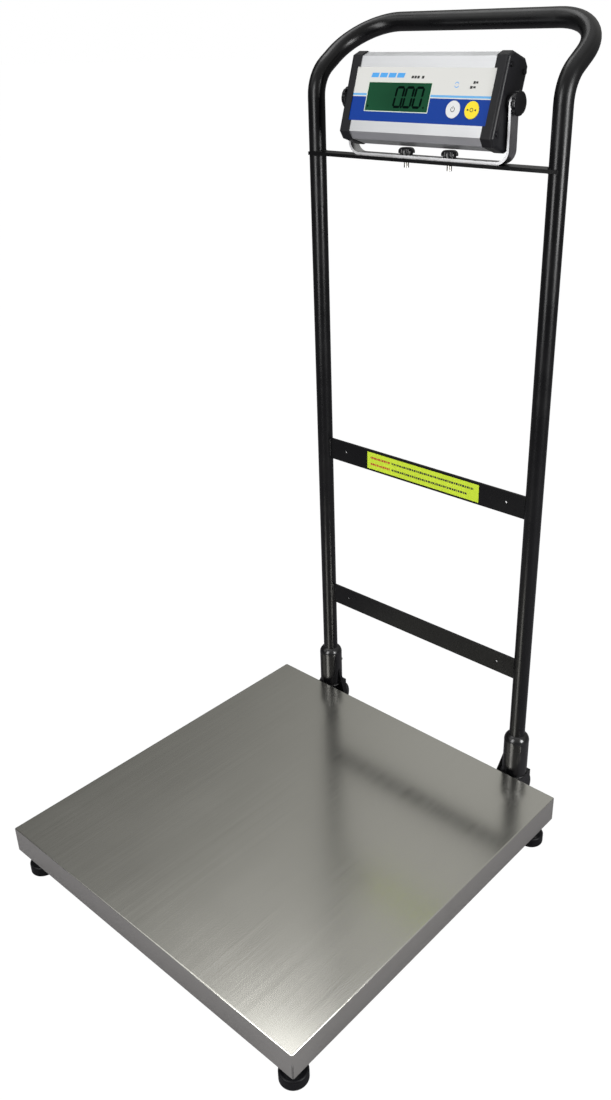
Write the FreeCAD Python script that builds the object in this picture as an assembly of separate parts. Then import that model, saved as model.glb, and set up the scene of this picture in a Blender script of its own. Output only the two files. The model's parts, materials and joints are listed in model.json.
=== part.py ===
"""Portable floor scale for weighing animals.

A stainless tray rests on a four-armed spider, which a single-point load cell
joins to a low base on four levelling feet.  Two sockets behind the base carry
a bent tube handle and a pair of transport wheels, and a tilting weight
indicator hangs in a U bracket on the handle's shelf.

Millimetres, +Z up, -Y towards the animal, +X to the right of the display.
The origin lies on the floor, in the middle of the whole scale's footprint.
"""
import FreeCAD, Part
import math
import os
from FreeCAD import Vector

# ---------------------------------------------------------------- tray
tray_width = 500.0
tray_depth = 500.0
tray_skirt = 35.5
tray_sheet = 1.2
tray_fold_radius = 2.2

# ---------------------------------------------------------------- handle
tube_diameter = 21.3
tube_wall = 2.0
handle_spacing = 345.0
handle_setback = 23.0
handle_bend_start_z = 916.0
handle_lean_angle = 56.0
handle_lean_radius = 43.5
handle_lean_straight = 18.0
handle_corner_radius = 63.0

# ---------------------------------------------------------------- base
base_skirt_gap = 8.8
rail_size = 20.0
rail_wall = 1.5
channel_sheet = 4.0
base_channel_width = 80.0
base_channel_height = 18.0

# ---------------------------------------------------------------- load cell
cell_length = 150.0
cell_width = 40.0
cell_height = 25.0
cell_hole_radius = 8.0
cell_hole_offset = 12.0
cell_spacer_length = 40.0
cell_spacer_below = 5.0
cell_spacer_above = 4.8
cell_bolt_radius = 3.0
cell_bolt_pitch = 22.0

# ---------------------------------------------------------------- spider
spider_channel_width = 60.0
spider_channel_length = 380.0
spider_flange = 14.0
spider_arm_rail_gap = 7.8
spider_arm_width = 30.0
spider_arm_spacing = 300.0
spider_arm_wall = 1.5
spider_arm_end_gap = 12.0
cushion_radius = 11.0
cushion_height = 4.0
cushion_inset = 25.0
stop_gap = 0.8
stop_head_height = 4.0
stop_screw_radius = 4.0

# ---------------------------------------------------------------- feet
foot_inset = 20.0
foot_radius = 16.6
foot_height = 14.0
foot_stud_radius = 5.0
foot_stud_head_gap = 1.5
foot_thread_gap = 3.0
foot_nut_height = 5.0
foot_nut_flats = 16.0
weld_nut_side_gap = 0.4
weld_nut_height = 8.0

# ---------------------------------------------------------------- sockets and wheels
sleeve_wall = 6.2
sleeve_clearance = 0.15
sleeve_length = 65.0
sleeve_dome_height = 12.0
fork_sheet = 3.0
fork_wheel_gap = 3.0
fork_inside_width = 25.0
fork_front_gap = 4.5
fork_skirt_gap = 1.5
fork_rear_reach = 11.0
gusset_thickness = 4.0
gusset_rise = 28.0
gusset_drop = 26.0
gusset_reach = 32.0
wheel_tray_gap = 3.0
wheel_radius = 26.0
wheel_width = 20.0
wheel_floor_gap = 2.0
wheel_side_gap = 0.5
tyre_thickness = 7.0
axle_radius = 4.0
hub_boss_radius = 9.0
clamp_bolt_radius = 3.0
clamp_bolt_rise = 32.0

# ---------------------------------------------------------------- crossbars and shelf
bar_height = 30.0
bar_thickness = 3.0
lower_bar_z = 225.0
middle_bar_z = 460.0
bar_hole_spacing = 266.0
bar_hole_radius = 2.0
label_width = 185.0
label_height = 24.0
label_thickness = 0.4
shelf_side_lap = 1.85
shelf_thickness = 4.0
shelf_top_z = 854.0
shelf_end_lap = 5.0

# ---------------------------------------------------------------- indicator bracket
bracket_width = 15.0
bracket_sheet = 3.0
bracket_bend_radius = 16.0
bracket_knob_spacing = 62.0
swing_gap = 0.35
stud_radius = 3.0
stud_end_below_shelf = 7.0

# ---------------------------------------------------------------- indicator
indicator_tilt = 18.0
housing_length = 186.0
housing_height = 96.0
housing_depth = 38.0
housing_wall = 2.0
housing_chamfer_height = 6.6
housing_chamfer_depth = 8.0
cap_length = 15.5
cap_overhang = 1.0
cap_edge_round = 4.0
cap_boss_radius = 8.0
cap_boss_height = 2.8
overlay_height = 58.7
overlay_cap_lap = 3.5
overlay_thickness = 0.6
window_left_margin = 17.0
window_width = 92.0
window_bottom_z = -18.8
window_top_z = 13.8
window_thickness = 1.0
key_radius = 9.2
key_thickness = 2.0
key_proud = 0.6
power_key_margin = 43.2
zero_key_margin = 18.4
key_z = -13.6
screw_port_y = 13.0
screw_port_z = 35.0
screw_port_radius = 4.2
screw_radius = 1.5
screw_head_radius = 2.8
screw_head_height = 1.6
screw_grip = 8.0
socket_collar_radius = 9.0
socket_collar_height = 5.0
socket_hollow_radius = 6.0
socket_recess = 2.0
socket_spacing = 90.0
display_thickness = 6.0
board_thickness = 1.6
board_half_height = 30.0
battery_size = (60.0, 14.0, 52.0)

# ---------------------------------------------------------------- knobs
tilt_knob_radius = 12.8
tilt_knob_thickness = 6.6
tilt_knob_round = 2.0
thumb_knob_radius = 9.8
thumb_knob_height = 8.0
thumb_knob_round = 4.6
knob_neck_height = 2.0
knob_neck_radius = 7.5
knob_flutes = 8
knob_flute_radius = 2.6
knob_stud_depth = 11.0

# ---------------------------------------------------------------- fits
running_gap = 0.05
face_gap = 0.2
key_side_gap = 0.2
bolt_hole_gap = 0.1
hex_corner = 1 / math.cos(math.pi / 6)

# ---------------------------------------------------------------- places worked out from the sizes
lean = math.radians(handle_lean_angle)
tube_radius = tube_diameter / 2
sleeve_diameter = tube_diameter + 2 * (sleeve_clearance + sleeve_wall)
shelf_width = tube_diameter + 2 * shelf_side_lap
lean_reach = (handle_lean_radius * (1 - math.cos(lean))
              + (handle_lean_straight + handle_corner_radius) * math.sin(lean))
footprint_depth = tray_depth + handle_setback + lean_reach + tube_radius
tray_y = (tray_depth - footprint_depth) / 2
tray_rear_y = tray_y + tray_depth / 2
handle_y = tray_rear_y + handle_setback
handle_x = handle_spacing / 2
rail_bottom_z = foot_height + foot_thread_gap + foot_nut_height
rail_top_z = rail_bottom_z + rail_size
cell_bottom_z = rail_bottom_z + channel_sheet + cell_spacer_below
cell_top_z = cell_bottom_z + cell_height
spider_channel_under_z = cell_top_z + cell_spacer_above
spider_top_z = spider_channel_under_z + channel_sheet
tray_under_z = spider_top_z + cushion_height
tray_top_z = tray_under_z + tray_sheet
tray_bottom_z = tray_top_z - tray_skirt
base_half_x = tray_width / 2 - tray_sheet - base_skirt_gap
base_half_y = tray_depth / 2 - tray_sheet - base_skirt_gap
foot_x = tray_width / 2 - foot_inset
foot_y = tray_depth / 2 - foot_inset
wheel_y = tray_rear_y + wheel_tray_gap + wheel_radius
wheel_z = wheel_radius + wheel_floor_gap
fork_top_z = wheel_z + wheel_radius + fork_wheel_gap + fork_sheet
sleeve_top_z = fork_top_z + sleeve_length
clamp_bolt_z = fork_top_z + clamp_bolt_rise
cap_swing_radius = math.hypot(housing_height / 2 + cap_overhang,
                              housing_depth / 2 + cap_overhang - housing_chamfer_depth)
pivot_z = shelf_top_z + bracket_sheet + face_gap + thumb_knob_height + swing_gap + cap_swing_radius
half_housing = housing_length / 2
window_left_x = window_left_margin - half_housing
window_right_x = window_left_x + window_width
power_key_x = half_housing - power_key_margin
zero_key_x = half_housing - zero_key_margin
bracket_half_x = housing_length / 2 + cap_length + cap_boss_height + face_gap + bracket_sheet


# ---------------------------------------------------------------- shape helpers
def box(low, high):
    size = Vector(*high) - Vector(*low)
    return Part.makeBox(size.x, size.y, size.z, Vector(*low))


def rod(radius, start, end):
    run = Vector(*end) - Vector(*start)
    return Part.makeCylinder(radius, run.Length, Vector(*start), run)


def hex_prism(flats, start, end):
    """Hexagonal bar from start to end, measured across its flats."""
    run = Vector(*end) - Vector(*start)
    corner = flats / 2 * hex_corner
    points = [Vector(corner * math.cos(math.radians(60 * k)), corner * math.sin(math.radians(60 * k)), 0)
              for k in range(7)]
    bar = Part.Face(Part.makePolygon(points)).extrude(Vector(0, 0, run.Length))
    bar.Placement = FreeCAD.Placement(Vector(*start), FreeCAD.Rotation(Vector(0, 0, 1), run))
    return bar


def prism_yz(points, x0, x1):
    corners = [Vector(x0, y, z) for y, z in points]
    return Part.Face(Part.makePolygon(corners + corners[:1])).extrude(Vector(x1 - x0, 0, 0))


def prism_xz(points, y0, y1):
    corners = [Vector(x, y0, z) for x, z in points]
    return Part.Face(Part.makePolygon(corners + corners[:1])).extrude(Vector(0, y1 - y0, 0))


def hollow_bar(low, high, wall, along):
    """Rectangular tube whose bore runs along axis number `along`."""
    inner_low = [v + wall for v in low]
    inner_high = [v - wall for v in high]
    inner_low[along] = low[along]
    inner_high[along] = high[along]
    return box(low, high).cut(box(inner_low, inner_high))


def mirrored(shape):
    return shape.mirror(Vector(0, 0, 0), Vector(1, 0, 0))


def fillet(shape, radius, wanted):
    return shape.makeFillet(radius, [edge for edge in shape.Edges if wanted(edge)])


def save(name, *solids):
    shape = solids[0] if len(solids) == 1 else Part.makeCompound(list(solids))
    shape.exportStep("parts/" + name + ".step")


os.makedirs("parts", exist_ok=True)


# ---------------------------------------------------------------- tray
def folded_pan(half_x, half_y, bottom_z, top_z, radius):
    block = box((-half_x, tray_y - half_y, bottom_z), (half_x, tray_y + half_y, top_z))
    return fillet(block, radius, lambda edge: edge.BoundBox.ZMax > top_z - 0.001)


tray_outside = folded_pan(tray_width / 2, tray_depth / 2, tray_bottom_z, tray_top_z, tray_fold_radius)
tray_inside = folded_pan(tray_width / 2 - tray_sheet, tray_depth / 2 - tray_sheet, tray_bottom_z - 1,
                         tray_under_z, tray_fold_radius - tray_sheet)
save("tray", tray_outside.cut(tray_inside))


# ---------------------------------------------------------------- base frame
weld_nut_flats = (rail_size - 2 * rail_wall - 2 * weld_nut_side_gap) / hex_corner
foot_places = [("front_left", -foot_x, tray_y - foot_y), ("front_right", foot_x, tray_y - foot_y),
               ("rear_left", -foot_x, tray_y + foot_y), ("rear_right", foot_x, tray_y + foot_y)]
arm_places_y = [tray_y - spider_arm_spacing / 2, tray_y + spider_arm_spacing / 2]
rail_centre_x = base_half_x - rail_size / 2

for name, side in (("left", -1), ("right", 1)):
    inner_x = side * (base_half_x - rail_size)
    outer_x = side * base_half_x
    rail = hollow_bar([min(inner_x, outer_x), tray_y - base_half_y, rail_bottom_z],
                      [max(inner_x, outer_x), tray_y + base_half_y, rail_top_z], rail_wall, 1)
    for _, x, y in foot_places:
        rail = rail.cut(rod(foot_stud_radius + running_gap, (x, y, rail_bottom_z - 1),
                            (x, y, rail_bottom_z + rail_wall + 1)))
    for y in arm_places_y:
        rail = rail.cut(rod(stop_screw_radius, (side * rail_centre_x, y, rail_top_z - rail_wall - 1),
                            (side * rail_centre_x, y, rail_top_z + 1)))
    save("base_" + name + "_rail", rail)

cross_rails = []
for side in (-1, 1):
    near_y = tray_y + side * (base_half_y - rail_size)
    far_y = tray_y + side * base_half_y
    half_run = base_half_x - rail_size
    cross_rails.append(hollow_bar([-half_run, min(near_y, far_y), rail_bottom_z],
                                  [half_run, max(near_y, far_y), rail_top_z], rail_wall, 0))
gland_z = rail_bottom_z + 6.0
gland_y = tray_y + base_half_y
gland_radius = 3.0
cross_rails[1] = cross_rails[1].cut(rod(gland_radius, (0, gland_y - rail_wall - 1, gland_z),
                                        (0, gland_y + 1, gland_z)))
save("base_cross_rails", *cross_rails)

weld_nuts = []
lock_nuts = []
for _, x, y in foot_places:
    thread = rod(foot_stud_radius + running_gap, (x, y, 0), (x, y, tray_top_z))
    nut_z = rail_bottom_z + rail_wall
    weld_nuts.append(hex_prism(weld_nut_flats, (x, y, nut_z), (x, y, nut_z + weld_nut_height)).cut(thread))
    lock_nuts.append(hex_prism(foot_nut_flats, (x, y, rail_bottom_z - foot_nut_height),
                               (x, y, rail_bottom_z)).cut(thread))
save("foot_weld_nuts", *weld_nuts)
save("foot_lock_nuts", *lock_nuts)

gland_body = hex_prism(10.0, (0, gland_y, gland_z), (0, gland_y + 5, gland_z))
gland_body = gland_body.fuse(rod(4.2, (0, gland_y + 5, gland_z), (0, gland_y + 12, gland_z)))
gland_body = gland_body.fuse(rod(gland_radius, (0, gland_y - 6, gland_z), (0, gland_y, gland_z)))
save("cable_gland", gland_body.cut(rod(1.8, (0, gland_y - 7, gland_z), (0, gland_y + 13, gland_z))))


# ---------------------------------------------------------------- load cell between base and spider
def channel(width, y0, y1, web_low_z, web_high_z, flange_low_z, flange_high_z):
    low_z = min(web_low_z, flange_low_z)
    high_z = max(web_high_z, flange_high_z)
    outside = box((-width / 2, y0, low_z), (width / 2, y1, high_z))
    half = width / 2 - channel_sheet
    return outside.cut(box((-half, y0, flange_low_z), (half, y1, flange_high_z)))


def cell_bolt_places(y):
    return [(-cell_bolt_pitch / 2, y), (cell_bolt_pitch / 2, y)]


base_inner_y = base_half_y - rail_size
web_top_z = rail_bottom_z + channel_sheet
base_channel = channel(base_channel_width, tray_y - base_inner_y, tray_y + base_inner_y,
                       rail_bottom_z, web_top_z, web_top_z, rail_bottom_z + base_channel_height)
spider_channel = channel(spider_channel_width, tray_y - spider_channel_length / 2,
                         tray_y + spider_channel_length / 2, spider_channel_under_z, spider_top_z,
                         spider_channel_under_z - spider_flange, spider_channel_under_z)

half_cell = cell_length / 2
cell = box((-cell_width / 2, tray_y - half_cell, cell_bottom_z),
           (cell_width / 2, tray_y + half_cell, cell_top_z))
cell_mid_z = (cell_bottom_z + cell_top_z) / 2
for offset in (-cell_hole_offset, cell_hole_offset):
    cell = cell.cut(rod(cell_hole_radius, (-cell_width, tray_y + offset, cell_mid_z),
                        (cell_width, tray_y + offset, cell_mid_z)))
cell = cell.cut(box((-cell_width, tray_y - cell_hole_offset, cell_mid_z - 3),
                    (cell_width, tray_y + cell_hole_offset, cell_mid_z + 3)))

fixed_y = tray_y - half_cell + cell_spacer_length / 2
live_y = tray_y + half_cell - cell_spacer_length / 2
half_spacer = cell_spacer_length / 2
lower_spacer = box((-cell_width / 2, fixed_y - half_spacer, web_top_z),
                   (cell_width / 2, fixed_y + half_spacer, cell_bottom_z))
upper_spacer = box((-cell_width / 2, live_y - half_spacer, cell_top_z),
                   (cell_width / 2, live_y + half_spacer, spider_channel_under_z))

cell_bolts = []
bolt_flats = 10.0
bolt_bite = 16.0
for x, y in cell_bolt_places(fixed_y):
    shank = rod(cell_bolt_radius, (x, y, rail_bottom_z), (x, y, cell_bottom_z + bolt_bite))
    cell_bolts.append(shank.fuse(hex_prism(bolt_flats, (x, y, rail_bottom_z - 4), (x, y, rail_bottom_z))))
    hole = rod(cell_bolt_radius + bolt_hole_gap, (x, y, rail_bottom_z - 1), (x, y, cell_bottom_z))
    base_channel = base_channel.cut(hole)
    lower_spacer = lower_spacer.cut(hole)
    cell = cell.cut(shank)
for x, y in cell_bolt_places(live_y):
    shank = rod(cell_bolt_radius, (x, y, cell_top_z - bolt_bite), (x, y, spider_top_z))
    head_top_z = spider_top_z + 0.75 * cushion_height
    cell_bolts.append(shank.fuse(hex_prism(bolt_flats, (x, y, spider_top_z), (x, y, head_top_z))))
    hole = rod(cell_bolt_radius + bolt_hole_gap, (x, y, cell_top_z), (x, y, spider_top_z + 1))
    spider_channel = spider_channel.cut(hole)
    upper_spacer = upper_spacer.cut(hole)
    cell = cell.cut(shank)

save("base_cell_channel", base_channel)
save("load_cell", cell)
save("load_cell_spacers", lower_spacer, upper_spacer)
save("load_cell_bolts", *cell_bolts)
save("spider_channel", spider_channel)

# ---------------------------------------------------------------- spider arms, cushions and overload stops
arm_bottom_z = rail_top_z + spider_arm_rail_gap
arm_end_x = tray_width / 2 - spider_arm_end_gap
cushion_x = arm_end_x - cushion_inset
arms = []
cushions = []
stops = []
for side in (-1, 1):
    for y in arm_places_y:
        ends_x = sorted((side * spider_channel_width / 2, side * arm_end_x))
        arms.append(hollow_bar([ends_x[0], y - spider_arm_width / 2, arm_bottom_z],
                               [ends_x[1], y + spider_arm_width / 2, spider_top_z], spider_arm_wall, 0))
        cushion_foot = (side * cushion_x, y, spider_top_z)
        cushions.append(rod(cushion_radius, cushion_foot, (side * cushion_x, y, tray_under_z)))
        stop_x = side * rail_centre_x
        stop_top_z = arm_bottom_z - stop_gap
        stop = rod(stop_screw_radius, (stop_x, y, rail_bottom_z + 4), (stop_x, y, stop_top_z))
        stop = stop.fuse(hex_prism(13.0, (stop_x, y, rail_top_z), (stop_x, y, rail_top_z + stop_head_height)))
        stops.append(stop)
save("spider_arms", *arms)
save("tray_cushions", *cushions)
save("overload_stops", *stops)

# ---------------------------------------------------------------- levelling feet
for name, x, y in foot_places:
    pad = rod(foot_radius, (x, y, 0), (x, y, foot_height))
    pad = fillet(pad, 2.5, lambda edge: edge.BoundBox.ZMin > foot_height - 0.001)
    pad = fillet(pad, 1.2, lambda edge: edge.BoundBox.ZMax < 0.001 and edge.BoundBox.XLength > foot_radius)
    stud_foot_z = foot_height / 2
    stud = rod(foot_stud_radius, (x, y, stud_foot_z), (x, y, rail_top_z - rail_wall - foot_stud_head_gap))
    flange = rod(foot_stud_radius * 2, (x, y, stud_foot_z), (x, y, stud_foot_z + 2))
    stud = stud.fuse(flange).removeSplitter()
    save(name + "_foot_pad", pad.cut(stud))
    save(name + "_foot_stud", stud)


# ---------------------------------------------------------------- wheel forks, sleeves and gussets
def wheel_fork():
    front_y = tray_rear_y + fork_front_gap
    rail_y = tray_y + base_half_y
    rear_y = wheel_y + fork_rear_reach
    low_z = wheel_z - fork_rear_reach
    corner = math.sqrt(0.5) * fork_rear_reach
    step_z = tray_bottom_z - fork_skirt_gap
    outline = [(rail_y, rail_bottom_z), (rail_y, step_z), (front_y, step_z), (front_y, fork_top_z),
               (rear_y, fork_top_z), (rear_y, wheel_z)]
    vectors = [Vector(0, y, z) for y, z in outline]
    edges = [Part.LineSegment(a, b).toShape() for a, b in zip(vectors, vectors[1:])]
    round_middle = Vector(0, wheel_y + corner, wheel_z - corner)
    round_end = Vector(0, wheel_y, low_z)
    edges.append(Part.Arc(vectors[-1], round_middle, round_end).toShape())
    edges.append(Part.LineSegment(round_end, vectors[0]).toShape())
    cheek = Part.Face(Part.Wire(edges)).extrude(Vector(fork_sheet, 0, 0))
    half = fork_inside_width / 2
    outer_cheek = cheek.translated(Vector(handle_x + half, 0, 0))
    inner_cheek = cheek.translated(Vector(handle_x - half - fork_sheet, 0, 0))
    roof = box((handle_x - half, front_y, fork_top_z - fork_sheet), (handle_x + half, rear_y, fork_top_z))
    bore = rod(axle_radius, (handle_x - 30, wheel_y, wheel_z), (handle_x + 30, wheel_y, wheel_z))
    return outer_cheek.fuse([inner_cheek, roof]).removeSplitter().cut(bore)


def handle_sleeve():
    outer = sleeve_diameter / 2
    inner = tube_radius + sleeve_clearance
    shoulder_z = sleeve_top_z - sleeve_dome_height
    mid_x = inner + (outer - inner) * 0.78
    mid_z = shoulder_z + sleeve_dome_height * 0.62
    lines = [Vector(inner, 0, sleeve_top_z), Vector(inner, 0, fork_top_z), Vector(outer, 0, fork_top_z),
             Vector(outer, 0, shoulder_z)]
    edges = [Part.LineSegment(a, b).toShape() for a, b in zip(lines, lines[1:])]
    edges.append(Part.Arc(lines[-1], Vector(mid_x, 0, mid_z), lines[0]).toShape())
    ring = Part.Face(Part.Wire(edges)).revolve(Vector(0, 0, 0), Vector(0, 0, 1), 360)
    ring.translate(Vector(handle_x, handle_y, 0))
    hole = rod(clamp_bolt_radius + bolt_hole_gap, (handle_x, handle_y, clamp_bolt_z),
               (handle_x, handle_y + sleeve_diameter, clamp_bolt_z))
    return ring.cut(hole)


def gusset():
    cheek_x = handle_x - fork_inside_width / 2 - fork_sheet
    sleeve_x = handle_x - sleeve_diameter / 2
    top_z = fork_top_z + gusset_rise
    bottom_z = fork_top_z - gusset_drop
    outline = [(cheek_x, bottom_z), (handle_x - gusset_reach, bottom_z), (sleeve_x, top_z),
               (handle_x - tube_radius, top_z), (handle_x - tube_radius, fork_top_z), (cheek_x, fork_top_z)]
    plate = prism_xz(outline, handle_y - gusset_thickness / 2, handle_y + gusset_thickness / 2)
    sleeve_foot = (handle_x, handle_y, fork_top_z)
    sleeve_space = rod(sleeve_diameter / 2, sleeve_foot, (handle_x, handle_y, sleeve_top_z))
    return plate.cut(sleeve_space)


def clamp_bolt():
    start_y = handle_y + tube_radius
    face_y = handle_y + sleeve_diameter / 2
    shank = rod(clamp_bolt_radius, (handle_x, start_y, clamp_bolt_z), (handle_x, face_y, clamp_bolt_z))
    return shank.fuse(hex_prism(10.0, (handle_x, face_y, clamp_bolt_z), (handle_x, face_y + 4, clamp_bolt_z)))


def wheel_axle():
    face = fork_inside_width / 2 + fork_sheet
    shank = rod(axle_radius, (handle_x - face - 8, wheel_y, wheel_z), (handle_x + face, wheel_y, wheel_z))
    head = hex_prism(13.0, (handle_x + face, wheel_y, wheel_z), (handle_x + face + 5, wheel_y, wheel_z))
    return shank.fuse(head)


def axle_nut():
    face = handle_x - fork_inside_width / 2 - fork_sheet
    nut = hex_prism(13.0, (face - 6.5, wheel_y, wheel_z), (face, wheel_y, wheel_z))
    return nut.cut(rod(axle_radius, (face - 7, wheel_y, wheel_z), (face + 1, wheel_y, wheel_z)))


def both_sides(shape):
    return mirrored(shape), shape


save("wheel_forks", *both_sides(wheel_fork()))
save("handle_sleeves", *both_sides(handle_sleeve()))
save("socket_gussets", *both_sides(gusset()))
save("sleeve_clamp_bolts", *both_sides(clamp_bolt()))
save("wheel_axles", *both_sides(wheel_axle()))
save("axle_nuts", *both_sides(axle_nut()))

# ---------------------------------------------------------------- wheels
def on_axle(radius, from_x, to_x):
    return rod(radius, (handle_x + from_x, wheel_y, wheel_z), (handle_x + to_x, wheel_y, wheel_z))


rim_radius = wheel_radius - tyre_thickness
hub_half = fork_inside_width / 2 - wheel_side_gap
tyre = on_axle(wheel_radius, -wheel_width / 2, wheel_width / 2)
tyre = tyre.makeFillet(3.0, [edge for edge in tyre.Edges if edge.BoundBox.XLength < 0.001])
tyre = tyre.cut(on_axle(rim_radius, -wheel_width, wheel_width))
rim_half = wheel_width / 2 - 1.0
rim_thickness = 3.0
hub_web_half = 4.0
hub = on_axle(rim_radius, -rim_half, rim_half)
for side in (-1, 1):
    hub = hub.cut(on_axle(rim_radius - rim_thickness, side * hub_web_half, side * wheel_width))
hub = hub.fuse(on_axle(hub_boss_radius, -hub_half, hub_half))
hub = hub.cut(on_axle(axle_radius + running_gap, -wheel_width, wheel_width))
for name, tyre_side, hub_side in (("left", mirrored(tyre), mirrored(hub)), ("right", tyre, hub)):
    save(name + "_wheel_tyre", tyre_side)
    save(name + "_wheel_hub", hub_side)


# ---------------------------------------------------------------- bent tube handle
def handle_path():
    """Right leg up, lean back, corner inwards, grip, and the same down the left leg."""
    up_and_back = Vector(0, math.sin(lean), math.cos(lean))

    def on_lean_bend(angle):
        return Vector(0, handle_lean_radius * (1 - math.cos(angle)), handle_lean_radius * math.sin(angle))

    def on_corner_bend(angle):
        return up_and_back * (handle_corner_radius * math.sin(angle)) - Vector(
            handle_corner_radius * (1 - math.cos(angle)), 0, 0)

    foot = Vector(handle_x, handle_y, fork_top_z)
    bend = Vector(handle_x, handle_y, handle_bend_start_z)
    leaned = bend + on_lean_bend(lean)
    corner = leaned + up_and_back * handle_lean_straight
    grip = corner + on_corner_bend(math.pi / 2)
    right = [("line", foot, None, bend),
             ("arc", bend, bend + on_lean_bend(lean / 2), leaned),
             ("line", leaned, None, corner),
             ("arc", corner, corner + on_corner_bend(math.pi / 4), grip)]

    def flip(point):
        return None if point is None else Vector(-point.x, point.y, point.z)

    left = [(kind, flip(end), flip(middle), flip(start)) for kind, start, middle, end in reversed(right)]
    edges = []
    for kind, start, middle, end in right + [("line", grip, None, flip(grip))] + left:
        curve = Part.LineSegment(start, end) if kind == "line" else Part.Arc(start, middle, end)
        edges.append(curve.toShape())
    return Part.Wire(edges)


def pipe(path, radius):
    start = path.Vertexes[0].Point
    circle = Part.Wire(Part.makeCircle(radius, start, Vector(0, 0, 1)))
    return path.makePipeShell([circle], True, False)


path = handle_path()
save("handle_tube", pipe(path, tube_radius).cut(pipe(path, tube_radius - tube_wall)))

tube_legs = [rod(tube_radius, (x, handle_y, fork_top_z), (x, handle_y, handle_bend_start_z))
             for x in (-handle_x, handle_x)]


# ---------------------------------------------------------------- crossbars, label strip and shelf
def crossbar(mid_z):
    bar = box((-handle_x, handle_y - bar_thickness / 2, mid_z - bar_height / 2),
              (handle_x, handle_y + bar_thickness / 2, mid_z + bar_height / 2))
    for x in (-bar_hole_spacing / 2, bar_hole_spacing / 2):
        hole_start = (x, handle_y - bar_thickness, mid_z)
        bar = bar.cut(rod(bar_hole_radius, hole_start, (x, handle_y + bar_thickness, mid_z)))
    return bar.cut(tube_legs)


save("lower_crossbar", crossbar(lower_bar_z))
save("middle_crossbar", crossbar(middle_bar_z))
label_y = handle_y - bar_thickness / 2
save("label_strip", box((-label_width / 2, label_y - label_thickness, middle_bar_z - label_height / 2),
                        (label_width / 2, label_y, middle_bar_z + label_height / 2)))

shelf_half_x = handle_x + shelf_end_lap
shelf = box((-shelf_half_x, handle_y - shelf_width / 2, shelf_top_z - shelf_thickness),
            (shelf_half_x, handle_y + shelf_width / 2, shelf_top_z)).cut(tube_legs)
knob_places_x = (-bracket_knob_spacing / 2, bracket_knob_spacing / 2)
for x in knob_places_x:
    shelf = shelf.cut(rod(stud_radius + running_gap, (x, handle_y, shelf_top_z - 2 * shelf_thickness),
                          (x, handle_y, shelf_top_z + 1)))
save("indicator_shelf", shelf)


# ---------------------------------------------------------------- U bracket
def bracket_plate(half_x, bottom_z, radius):
    """Closed block with rounded lower corners and round-ended arms."""
    block = box((-half_x, handle_y - bracket_width / 2, bottom_z),
                (half_x, handle_y + bracket_width / 2, pivot_z + bracket_width))

    def lower_corner(edge):
        return edge.BoundBox.ZMax < bottom_z + 0.001 and edge.BoundBox.XLength < 0.001

    return fillet(block, radius, lower_corner)


bracket = bracket_plate(bracket_half_x, shelf_top_z, bracket_bend_radius)
bracket = bracket.cut(bracket_plate(bracket_half_x - bracket_sheet, shelf_top_z + bracket_sheet,
                                    bracket_bend_radius - bracket_sheet))
arm_end = rod(bracket_width / 2, (-bracket_half_x, handle_y, pivot_z), (bracket_half_x, handle_y, pivot_z))
arm_body = box((-bracket_half_x, handle_y - bracket_width / 2, shelf_top_z),
               (bracket_half_x, handle_y + bracket_width / 2, pivot_z))
bracket = bracket.common(arm_body.fuse(arm_end))
bracket = bracket.cut(rod(stud_radius + running_gap, (-bracket_half_x - 1, handle_y, pivot_z),
                          (bracket_half_x + 1, handle_y, pivot_z)))
for x in knob_places_x:
    bracket = bracket.cut(rod(stud_radius + running_gap, (x, handle_y, shelf_top_z - 1),
                              (x, handle_y, shelf_top_z + bracket_sheet + 1)))
save("indicator_bracket", bracket)


# ---------------------------------------------------------------- indicator, built upright about its pivot
def hung(shape):
    """Lean a shape back by the display's tilt and hang it on the pivot."""
    shape = shape.copy()
    shape.rotate(Vector(0, 0, 0), Vector(1, 0, 0), -indicator_tilt)
    shape.translate(Vector(0, handle_y, pivot_z))
    return shape


def housing_section(shrink, x0, x1):
    half_y = housing_depth / 2 - shrink
    half_z = housing_height / 2 - shrink
    cut_y = housing_chamfer_depth
    cut_z = housing_chamfer_height
    outline = [(-half_y, -half_z + cut_z), (-half_y, half_z - cut_z), (-half_y + cut_y, half_z),
               (half_y - cut_y, half_z), (half_y, half_z - cut_z), (half_y, -half_z + cut_z),
               (half_y - cut_y, -half_z), (-half_y + cut_y, -half_z)]
    return prism_yz(outline, x0, x1)


front_y = -housing_depth / 2
half_overlay = overlay_height / 2
key_places_x = (power_key_x, zero_key_x)


def through_front(x0, x1, z0, z1):
    return box((x0, front_y - 2, z0), (x1, front_y + 2 * housing_wall, z1))


def overlay_sheet(proud):
    half_length = half_housing + overlay_cap_lap
    return box((-half_length, front_y - proud, -half_overlay),
               (half_length, front_y + overlay_thickness, half_overlay))


def key_hole(x):
    return rod(key_radius + key_side_gap, (x, front_y - 2, key_z), (x, front_y + 2 * housing_wall, key_z))


housing = housing_section(0, -half_housing, half_housing)
hollow = housing_section(housing_wall, -half_housing, half_housing)
for y in (-screw_port_y, screw_port_y):
    for z in (-screw_port_z, screw_port_z):
        hollow = hollow.cut(rod(screw_port_radius, (-half_housing, y, z), (half_housing, y, z)))
housing = housing.cut(hollow)
for y in (-screw_port_y, screw_port_y):
    for z in (-screw_port_z, screw_port_z):
        housing = housing.cut(rod(screw_radius, (-half_housing, y, z), (half_housing, y, z)))
housing = housing.cut(overlay_sheet(proud=1.0))
housing = housing.cut(through_front(window_left_x, window_right_x, window_bottom_z, window_top_z))
for x in key_places_x:
    housing = housing.cut(key_hole(x))
back_y = housing_depth / 2
socket_places_x = (-socket_spacing / 2, socket_spacing / 2)
for x in socket_places_x:
    housing = housing.cut(rod(socket_collar_radius, (x, back_y - 2 * housing_wall, 0), (x, back_y + 1, 0)))
save("indicator_housing", hung(housing))

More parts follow.
